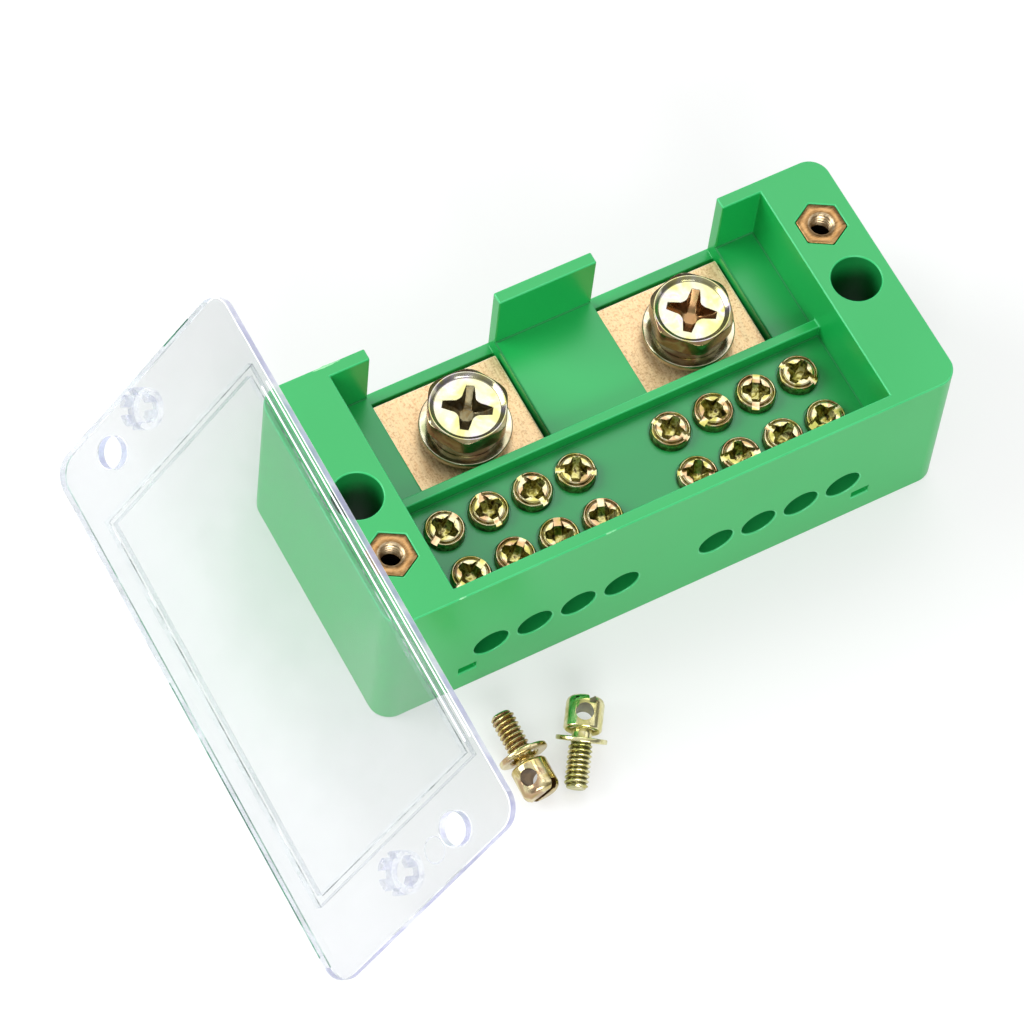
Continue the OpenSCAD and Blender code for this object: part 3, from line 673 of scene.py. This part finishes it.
def main_bolt(turn, cross_turn):
    """Hexagon bolt with a crown, a dish and a cross recess; its head starts at z = 0."""
    af, top, n = 13.0, 4.0, 144
    shank_r, shank_l = 3.98, 16
    crown, dish, recess_r, foot = 6.36, 0.65, 4.6, 0.2
    under, slope = math.tan(math.radians(28)), math.tan(math.radians(17))

    def crown_z(drop):
        """Height on the sloping crown of points at a radius, drop below the top at its rim."""
        return lambda r: top - drop - max(0, r - crown) * slope

    # Shank and washer face: radius and height
    rings = [circle(r, z, n) for r, z in ((shank_r, -shank_l), (shank_r, 0.1), (6.0, 0.1), (6.35, 0.16))]
    rings.append(hexagon_ring(af, lambda r: 0.3 + max(0, r - 6.4) * under, n))
    rings.append(hexagon_ring(af, crown_z(0.09), n))
    rings.append(hexagon_ring(af - 0.12, crown_z(0.03), n))
    # Rim of the crown and the dish within it: radius and depth below the top
    for r, drop in ((crown, 0.02), (6.29, 0), (6.18, 0), (6.10, 0.03), (5.62, 0.55), (5.46, dish),
                    (5.2, dish)):
        rings.append(circle(r, top - drop, n))
    head = place(new_object("bolt", loft(rings)), turned(turn + 30))
    cutter = cross_cutter(reach=4.15, tip_w=1.35, root_w=2.0, fillet=1.55, depth=2.7, top=top - dish)
    head = ease(cut(head, place(cutter, turned(cross_turn))), 0.07, angle=32, flatten=False)
    # Painted shade in the cross recess, and the darker side zinc on everything outside the crown
    paint(head, RECESS, lambda p, n: foot < p.z < top - dish - 0.1 and math.hypot(p.x, p.y) < recess_r)
    paint(head, SIDE, lambda p, n: math.hypot(p.x, p.y) > crown + 0.02 or p.z < foot)
    return soften(head)


def spring_washer(split):
    """Ring with a split at the angle split."""
    steps, inner, outer = 72, 4.15, 6.15
    split_w, split_r = 1.2, 5.2
    gap = math.degrees(split_w / split_r)
    section = rounded_profile([(inner, SPRING_H / 2), (inner, 0), (outer, 0), (outer, SPRING_H),
                               (inner, SPRING_H), (inner, SPRING_H / 2)], 0.25)
    rings = []
    for k in range(steps + 1):
        a = math.radians(split + gap / 2 + (360 - gap) * k / steps)
        rings.append([(r * math.cos(a), r * math.sin(a), z) for r, z in section])
    return soften(new_object("ring", loft(rings)))


def flat_washer(inner, outer, t, n=96):
    """Plain washer with rounded edges."""
    section = [(inner, 0), (outer, 0), (outer, t), (inner, t)]
    return soften(new_object("washer", lathe(section, n, 0.22, loop=True)), 60)


for side, sign, turn, cross_turn, split, recess in (("left", -1, 0, 55, 80, GREY_RECESS_SHADE),
                                                   ("right", 1, 15, 51, 100, BOLT_RECESS_SHADE)):
    stack = (
        ("_main_bolt", main_bolt(turn, cross_turn), HEAD_Z, (BOLT_ZINC, recess, BOLT_SIDE_SHADE)),
        ("_spring_washer", spring_washer(split), SPRING_Z, (BOLT_SIDE_SHADE,)),
        ("_flat_washer", flat_washer(4.15, 7.7, FLAT_T), FLAT_Z, (WASHER_ZINC,)),
    )
    for name, obj, z, looks in stack:
        finish_piece(place(obj, shift(sign * BAR_X, BOLT_Y, z)), side + name, "zinc_bolt", *looks)


# Clamp screws; the turns in degrees are of the rear and the front screw of each way

CLAMP_TURNS = ((30, 25), (95, 40), (105, 70), (150, 70), (125, 150), (25, 165), (60, 120), (125, 10))


def clamp_screw():
    """Screw with a grooved round head, a slot and a cross recess; its head starts at z = 0."""
    h, slot_depth, slot_half = 2.6, 0.75, 0.62
    recess_r, side_r, side_top = 2.5, 3.2, 2.1
    groove_in, groove_out, groove_low, groove_top = 2.60, 2.78, 2.0, 2.48
    profile = [(0.4, -5), (1.6, -5), (1.98, -4.6), (1.98, 0), (3.2, 0), (3.35, 0.15), (3.35, 1.8),
               (3.30, 2.14), (3.14, 2.36), (2.98, 2.39), (2.76, 2.02), (2.69, 2.02), (2.60, 2.50),
               (2.3, 2.56), (0.4, h)]
    head = new_object("screw", lathe(profile, 72, 0.04))
    slot = new_object("cutter", box_bm((-5, -slot_half, h - slot_depth), (5, slot_half, h + 1)))
    star = cross_cutter(reach=2.35, tip_w=1.2, root_w=1.7, fillet=0.85, depth=2.0, top=h)
    ease(cut(head, slot, star), 0.06, angle=34, flatten=False)

    # Faces of the cross recess and below the slot, which get painted shade
    def in_recess(p, n):
        under_slot = p.z < h - slot_depth - 0.1
        inside = math.hypot(p.x, p.y) < recess_r and 0 < p.z < h - 0.2
        return inside and (n.z < UPWARD or under_slot)

    def on_side(p, n):
        r = math.hypot(p.x, p.y)
        outward = p.x * n.x + p.y * n.y > -0.1
        in_groove = groove_low < p.z < groove_top and groove_in < r < groove_out and outward
        return p.z < side_top and r > side_r or in_groove

    paint(head, RECESS, in_recess)
    return paint(head, SIDE, on_side)


screw = clamp_screw()
for way in WAYS:
    pair = []
    for y, turn in zip(CLAMP_ROWS, CLAMP_TURNS[way]):
        one = bpy.data.objects.new("one", screw.data.copy())
        scene.collection.objects.link(one)
        pair.append(place(one, shift(way_x(way), y, CLAMP_SEAT) @ turned(turn)))
    node = f"way_{way + 1}_clamp_screws"
    finish_piece(soften(merge(node, pair)), node, "zinc_screw", SCREW_ZINC, SCREW_RECESS_SHADE, SCREW_SIDE)
discard(screw)


# Threaded inserts

THREAD, DEEP = 1, 2


def thread_rings(r, depth, pitch, z_from, z_to, n, per_turn=10):
    """Rings of a helical thread from z_from to z_to; depth is positive for ridges that stand out."""
    steep, root = 1.35, 0.15
    run_out = 0.5 * pitch
    count = max(2, round(abs(z_to - z_from) / pitch * per_turn))
    rings = []
    for k in range(count + 1):
        z = z_from + (z_to - z_from) * k / count
        fade = min(1, min(abs(z - z_from), abs(z - z_to)) / run_out)
        ring = []
        for i in range(n):
            a = 2 * math.pi * i / n
            phase = (z / pitch - i / n) % 1
            crest = min(1, max(0, steep * (1 - abs(2 * phase - 1)) - root))
            rr = r + depth * crest * fade
            ring.append((rr * math.cos(a), rr * math.sin(a), z))
        rings.append(ring)
    return rings


def cover_insert():
    """Hexagon insert with a tapped bore, from z = 0 up."""
    n, af, corner, chamfer = 96, 7.4, 0.05, 0.12
    mouth_r, bore_r, thread_depth, pitch = 2.25, 2.0, -0.3, 0.7
    deep_from = INSERT_L - 3.2
    rings = [hexagon_ring(af, 0, n, corner), hexagon_ring(af, INSERT_L - chamfer, n, corner),
             hexagon_ring(af - 2 * chamfer, INSERT_L, n, corner), circle(mouth_r, INSERT_L, n),
             circle(1.9, INSERT_L - 0.3, n)]
    rings += thread_rings(bore_r, thread_depth, pitch, INSERT_L - 0.35, 0.05, n, 8)
    rings += [circle(bore_r, 0, n)]
    insert = new_object("insert", loft(rings, loop=True))
    # The thread gets a paler brass; the deep end of the bore is painted near black as shade
    paint(insert, THREAD, lambda p, n: math.hypot(p.x, p.y) < bore_r + 0.1 and p.z < INSERT_L - 0.05)
    paint(insert, DEEP, lambda p, n: math.hypot(p.x, p.y) < bore_r + 0.1 and p.z < deep_from)
    return soften(insert, 50)


for side, sign in (("left", -1), ("right", 1)):
    insert = place(cover_insert(), shift(sign * FIXING_X, sign * INSERT_Y, BLOCK_H - INSERT_L))
    finish_piece(insert, side + "_cover_insert", "insert_brass", BRASS, BRASS_THREAD, BRASS_DEEP_SHADE)


# Cover, which leans on the left end; places on it are across and along it, from its middle

WALL, BEVEL, FRAME_WALL, FRAME_BEVEL, COLLAR, WHITE, PALE, LOW, GREEN_RIM = range(1, 10)
COVER_LEAN = 51.8
COVER_CORNER = 4.2
FRAME_INSET = 12.5
RIM_REACH = 0.8
LONG_EDGE_X = 17.5
UPRIGHT, FLAT = 0.25, 0.97
EJECTOR_AT = (-61.1, -56.6, 25.1)

# Painted reflection lines and refracted green tints of the rim; a stretch from a short edge is measured
# from that edge
LOW_REACH, PALE_START = 4, 6
WHITE_INSETS, WHITE_HALF_W = (0.65, 1.95), 0.16
WHITE_FROM_FAR, WHITE_FROM_NEAR = 19, 15
GREEN_INSET, GREEN_HALF_W = 0.22, 0.12
GREEN_LEFT_END, GREEN_FROM_NEAR, GREEN_LINE_FROM_NEAR, GREEN_FROM_FAR = 8, 12, 6, 4
GREEN_FAR_REACH, GREEN_FAR_TINT, GREEN_FAR_LINE = 2, (2, 15), (9, 16)

lean = math.radians(COVER_LEAN)
cover_up = Vector((-math.sin(lean), 0, math.cos(lean)))
cover_along = Vector((math.cos(lean), 0, math.sin(lean)))
cover = from_node("cover", 0.15, spare=lambda e: not e.is_convex)
across = [(v.co / MM).dot(cover_along) for v in cover.data.vertices]
along = [v.co.y / MM for v in cover.data.vertices]
COVER_MID = Vector(((min(across) + max(across)) / 2, (min(along) + max(along)) / 2))
COVER_HALF = Vector(((max(across) - min(across)) / 2, (max(along) - min(along)) / 2))


def cover_spot(p):
    """Place of p across and along the cover."""
    return Vector((p.dot(cover_along), p.y)) - COVER_MID


def rim_distance(p):
    """Distance of p from the rounded outline of the cover, towards the middle."""
    q = cover_spot(p)
    x, y = abs(q.x) - COVER_HALF.x + COVER_CORNER, abs(q.y) - COVER_HALF.y + COVER_CORNER
    return COVER_CORNER - math.hypot(max(x, 0), max(y, 0)) - min(max(x, y), 0)


COVER_TOP = max((v.co / MM).dot(cover_up) for v in cover.data.vertices if rim_distance(v.co / MM) < 0.5)


def is_wall(n):
    return abs(n.dot(cover_up)) < UPRIGHT


def is_bevel(n):
    return UPRIGHT <= abs(n.dot(cover_up)) < FLAT


def on_rim(p):
    return rim_distance(p) < RIM_REACH


def on_frame(p):
    """True for the stepped frame on the cover, well in from its short edges."""
    return rim_distance(p) > RIM_REACH and abs(cover_spot(p).y) < COVER_HALF.y - FRAME_INSET


def on_collar(p):
    """True for the walls of the collars near the short edges."""
    return rim_distance(p) > RIM_REACH and not on_frame(p) and p.dot(cover_up) > COVER_TOP + 0.1


def is_white(p, n):
    """True for the bevels of the upper long edge."""
    return is_bevel(n) and on_rim(p) and cover_spot(p).x > LONG_EDGE_X


def is_pale(p, n):
    """True for the rim but for the upper long edge and the near short one."""
    q = cover_spot(p)
    return is_wall(n) and on_rim(p) and q.x < LONG_EDGE_X and q.y > PALE_START - COVER_HALF.y


def is_low(p, n):
    """True for the near short edge."""
    return is_wall(n) and on_rim(p) and cover_spot(p).y < LOW_REACH - COVER_HALF.y


def is_green_rim(p, n):
    """True for the lower bevels of the rim in the stretches where the photo shows green."""
    q = cover_spot(p)
    from_far, from_near = COVER_HALF.y - q.y, COVER_HALF.y + q.y
    on_left = from_far < GREEN_FROM_FAR or from_near > GREEN_FROM_NEAR and q.y < GREEN_LEFT_END
    left_edge = q.x < -LONG_EDGE_X and on_left
    far_edge = from_far < GREEN_FAR_REACH and GREEN_FAR_TINT[0] < q.x < GREEN_FAR_TINT[1]
    return is_bevel(n) and n.dot(cover_up) < 0 and on_rim(p) and (left_edge or far_edge)


def plate_line(start, end, half_w, index):
    """Fine raised line on the cover's top face between two places, coloured as a painted reflection or
    refraction.
    """
    low, high, top_share = -0.05, 0.06, 0.6
    aside = (Vector(end) - Vector(start)).normalized().orthogonal()
    rings = []
    for spot in (start, end):
        ring = []
        for off, up in ((-1, low), (1, low), (top_share, high), (-top_share, high)):
            q = COVER_MID + Vector(spot) + aside * off * half_w
            p = cover_along * q.x + cover_up * (COVER_TOP + up)
            ring.append((p.x, q.y, p.z))
        rings.append(ring)
    return paint(new_object("line", loft(rings)), index)


def ejector_ring():
    """Faint ring left by an ejector pin on the cover's top face."""
    r, width, foot, height = 2.0, 0.16, -0.05, 0.03
    section = [(r, foot), (r + width, foot), (r + 0.6 * width, height), (r + 0.4 * width, height)]
    ring = new_object("mark", lathe(section, loop=True))
    return paint(place(ring, shift(*EJECTOR_AT) @ turned(-COVER_LEAN, "Y")), FRAME_WALL)


# Paints the cover's walls and bevels with painted glow, reflection lines and refracted green
for index, test in (
    (WALL, lambda p, n: is_wall(n)),
    (BEVEL, lambda p, n: is_bevel(n)),
    (FRAME_WALL, lambda p, n: is_wall(n) and on_frame(p)),
    (FRAME_BEVEL, lambda p, n: is_bevel(n) and on_frame(p)),
    (COLLAR, lambda p, n: (is_wall(n) or is_bevel(n)) and on_collar(p)),
    (WHITE, is_white),
    (PALE, is_pale),
    (LOW, is_low),
    (GREEN_RIM, is_green_rim),
):
    paint(cover, index, test)
lines = []
for inset in WHITE_INSETS:
    start = (COVER_HALF.x - inset, COVER_HALF.y - WHITE_FROM_FAR)
    end = (COVER_HALF.x - inset, WHITE_FROM_NEAR - COVER_HALF.y)
    lines.append(plate_line(start, end, WHITE_HALF_W, WHITE))
left_x, far_y = GREEN_INSET - COVER_HALF.x, COVER_HALF.y - GREEN_INSET
for start, end in (((left_x, GREEN_LEFT_END), (left_x, GREEN_LINE_FROM_NEAR - COVER_HALF.y)),
                   ((GREEN_FAR_LINE[0], far_y), (GREEN_FAR_LINE[1], far_y))):
    lines.append(plate_line(start, end, GREEN_HALF_W, GREEN_RIM))
finish_piece(soften(merge("lined", [cover, *lines, ejector_ring()])), "cover", "clear_plastic",
             CLEAR, CLEAR_EDGE, CLEAR_LINE, FRAME_EDGE, FRAME_LINE, COLLAR_EDGE, WHITE_LINE, PALE_EDGE,
             LOW_EDGE, GREEN_LINE)


# Loose seal screws, one lying on the rim of its drum and one on its tip, with their washers

VALLEY = 1
WASHER_R, WASHER_T = 4.2, 0.8
WASHER_DROP = 0.45
WASHER_AT = 1.5
DRUM_R, DRUM_RIM = 3.15, 4.95
TIP_R, TIP_Z = 2.0, 9.45

# Angles in degrees: heading, roll about the axis, turn of the slot, and lean of the washer
SEAL_PLACES = {
    "first": {"at": (-35.4, -40.4), "turn": -90, "roll": 31, "slot": -70, "lean": -8},
    "second": {"at": (-25.6, -42.0), "turn": 56, "roll": 0, "slot": 21, "lean": 25},
}


def seal_screw(slot_turn):
    """Drum with a seal hole and a slot on a threaded stem; the drum starts at z = 0."""
    n, neck_r, neck_z = 64, 1.66, -2.0
    core_r, thread_depth, pitch, valley_r = 1.58, 0.42, 0.84, 1.76
    thread_end = neck_z - 0.05
    hole_r, hole_z = 1.45, 2.7
    slot_half, slot_floor = 0.6, 4.35
    rings = [circle(1.2, -TIP_Z, n), circle(1.55, 0.03 - TIP_Z, n)]
    rings += thread_rings(core_r, thread_depth, pitch, 0.1 - TIP_Z, thread_end, n)
    rings += [circle(neck_r, neck_z, n), circle(neck_r, 0.6, n)]
    stem = new_object("stem", loft(rings))
    # Painted shade in the thread's valleys
    paint(stem, VALLEY, lambda p, n: math.hypot(p.x, p.y) < valley_r and 0.25 - TIP_Z < p.z < thread_end)
    profile = [(0.3, 0), (2.8, 0), (DRUM_R, 0.35), (DRUM_R, 4.75), (2.9, 5.35), (2.35, 5.75), (0.3, 5.75)]
    drum = new_object("drum", lathe(profile, 72, 0.2))
    hole = new_object("cutter", lathe([(0.1, -6), (hole_r, -6), (hole_r, 6), (0.1, 6)], 48))
    place(hole, shift(0, 0, hole_z) @ turned(90, "Y"))
    slot = new_object("cutter", box_bm((-6, -slot_half, slot_floor), (6, slot_half, 8)))
    cut(drum, hole, place(slot, turned(slot_turn)))
    ease(drum, 0.12, angle=34, flatten=False)

    # Faces in the seal hole and the slot, which get the same painted shade
    def in_cut(p, n):
        r = math.hypot(p.x, p.y)
        in_hole = math.hypot(p.y, p.z - hole_z) < hole_r + 0.05 and r < 2.7
        return in_hole or p.z > slot_floor - 0.05 and abs(n.z) < 0.7 and r < 2.2

    return soften(merge("seal", [stem, paint(drum, VALLEY, in_cut)]), 50)


def slope_to(z, d, r):
    """Slope of an axis that is z high at one place, with a rim of radius r on the ground d further on."""
    return math.degrees(math.asin(z / math.hypot(d, r)) - math.atan2(r, d))


for which, p in SEAL_PLACES.items():
    lean = math.radians(p["lean"])
    axis_z = WASHER_R * math.cos(lean) + WASHER_T / 2 * math.sin(abs(lean)) - WASHER_DROP
    if which == "first":
        rise, looks = -slope_to(axis_z, WASHER_AT + DRUM_RIM, DRUM_R), (WARM_ZINC, WARM_VALLEY_SHADE)
    else:
        rise, looks = slope_to(axis_z, TIP_Z - WASHER_AT, TIP_R), (PALE_ZINC, PALE_VALLEY_SHADE)
    lie = shift(*p["at"], axis_z) @ turned(p["turn"]) @ turned(90 - rise, "Y")
    screw = place(seal_screw(p["slot"]), lie @ shift(0, 0, WASHER_AT) @ turned(p["roll"]))
    finish_piece(screw, which + "_seal_screw", "zinc_screw", *looks)
    lie = shift(*p["at"], axis_z + WASHER_DROP) @ turned(p["turn"]) @ turned(90 - p["lean"], "Y")
    washer = place(flat_washer(2.5, WASHER_R, WASHER_T, 72), lie @ shift(0, 0, -WASHER_T / 2))
    finish_piece(washer, which + "_seal_washer", "zinc_screw", looks[0])


# Floor, just under the feet of the part

ground = bmesh.new()
bmesh.ops.create_grid(ground, x_segments=8, y_segments=8, size=3.0)
floor = new_object("floor", ground)
floor.location.z = -0.05 * MM
floor.data.materials.append(floor_white())


# Sky from the horizon, 0, to straight up, 1, and softboxes

SKY = (
    (0.0, (0.2619, 0.26595, 0.27)),
    (0.33, (0.2231, 0.22655, 0.23)),
    (0.60, (0.3201, 0.32505, 0.33)),
    (1.0, (1.0, 1.0, 1.0)),
)
world = bpy.data.worlds.new("studio")
scene.world = world
world.use_nodes = True
sky = world.node_tree
sky_way = sky.nodes.new("ShaderNodeTexCoord")
sky_height = sky.nodes.new("ShaderNodeSeparateXYZ")
sky_ramp = sky.nodes.new("ShaderNodeValToRGB")
set_stops(sky_ramp.color_ramp, SKY)
sky.links.new(sky_way.outputs["Generated"], sky_height.inputs[0])
sky.links.new(sky_height.outputs["Z"], sky_ramp.inputs["Fac"])
sky.links.new(sky_ramp.outputs["Color"], sky.nodes["Background"].inputs["Color"])
sky.nodes["Background"].inputs["Strength"].default_value = 1.0


def softbox(name, direction, distance, size, power):
    """Rectangular lamp that faces the origin; distance and size are in metres."""
    lamp = bpy.data.lights.new(name, "AREA")
    lamp.shape = "RECTANGLE"
    lamp.size, lamp.size_y = size
    lamp.energy = power
    obj = bpy.data.objects.new(name, lamp)
    way = Vector(direction).normalized()
    obj.location = way * distance
    obj.rotation_euler = way.to_track_quat("Z", "Y").to_euler()
    scene.collection.objects.link(obj)


softbox("top_light", (0.30, 0.40, 0.866), 1.7, (0.9, 0.9), 5.8)
softbox("left_light", (-0.72, 0.45, 0.50), 1.6, (1.1, 0.9), 22)
softbox("right_light", (0.75, -0.10, 0.62), 1.6, (1.0, 0.9), 3)
softbox("front_light", (-0.25, -0.85, 0.50), 1.8, (1.2, 0.8), 23.5)


# Camera, fitted to the photo: its place in millimetres and its three directions

EYE_AT = (-229.227, -309.361, 701.613)
EYE_RIGHT = Vector((0.881304, -0.468514, 0.061628))
EYE_DOWN = Vector((-0.388539, -0.792664, -0.469810))
EYE_AHEAD = Vector((0.268963, 0.390101, -0.880614))
camera = bpy.data.cameras.new("camera")
camera.sensor_width = 36
camera.lens = 168.555
camera.clip_start, camera.clip_end = 0.05, 20
eye = bpy.data.objects.new("camera", camera)
eye.matrix_world = shift(*EYE_AT) @ Matrix((EYE_RIGHT, -EYE_DOWN, -EYE_AHEAD)).transposed().to_4x4()
scene.collection.objects.link(eye)
scene.camera = eye
scene.view_settings.view_transform = "Standard"
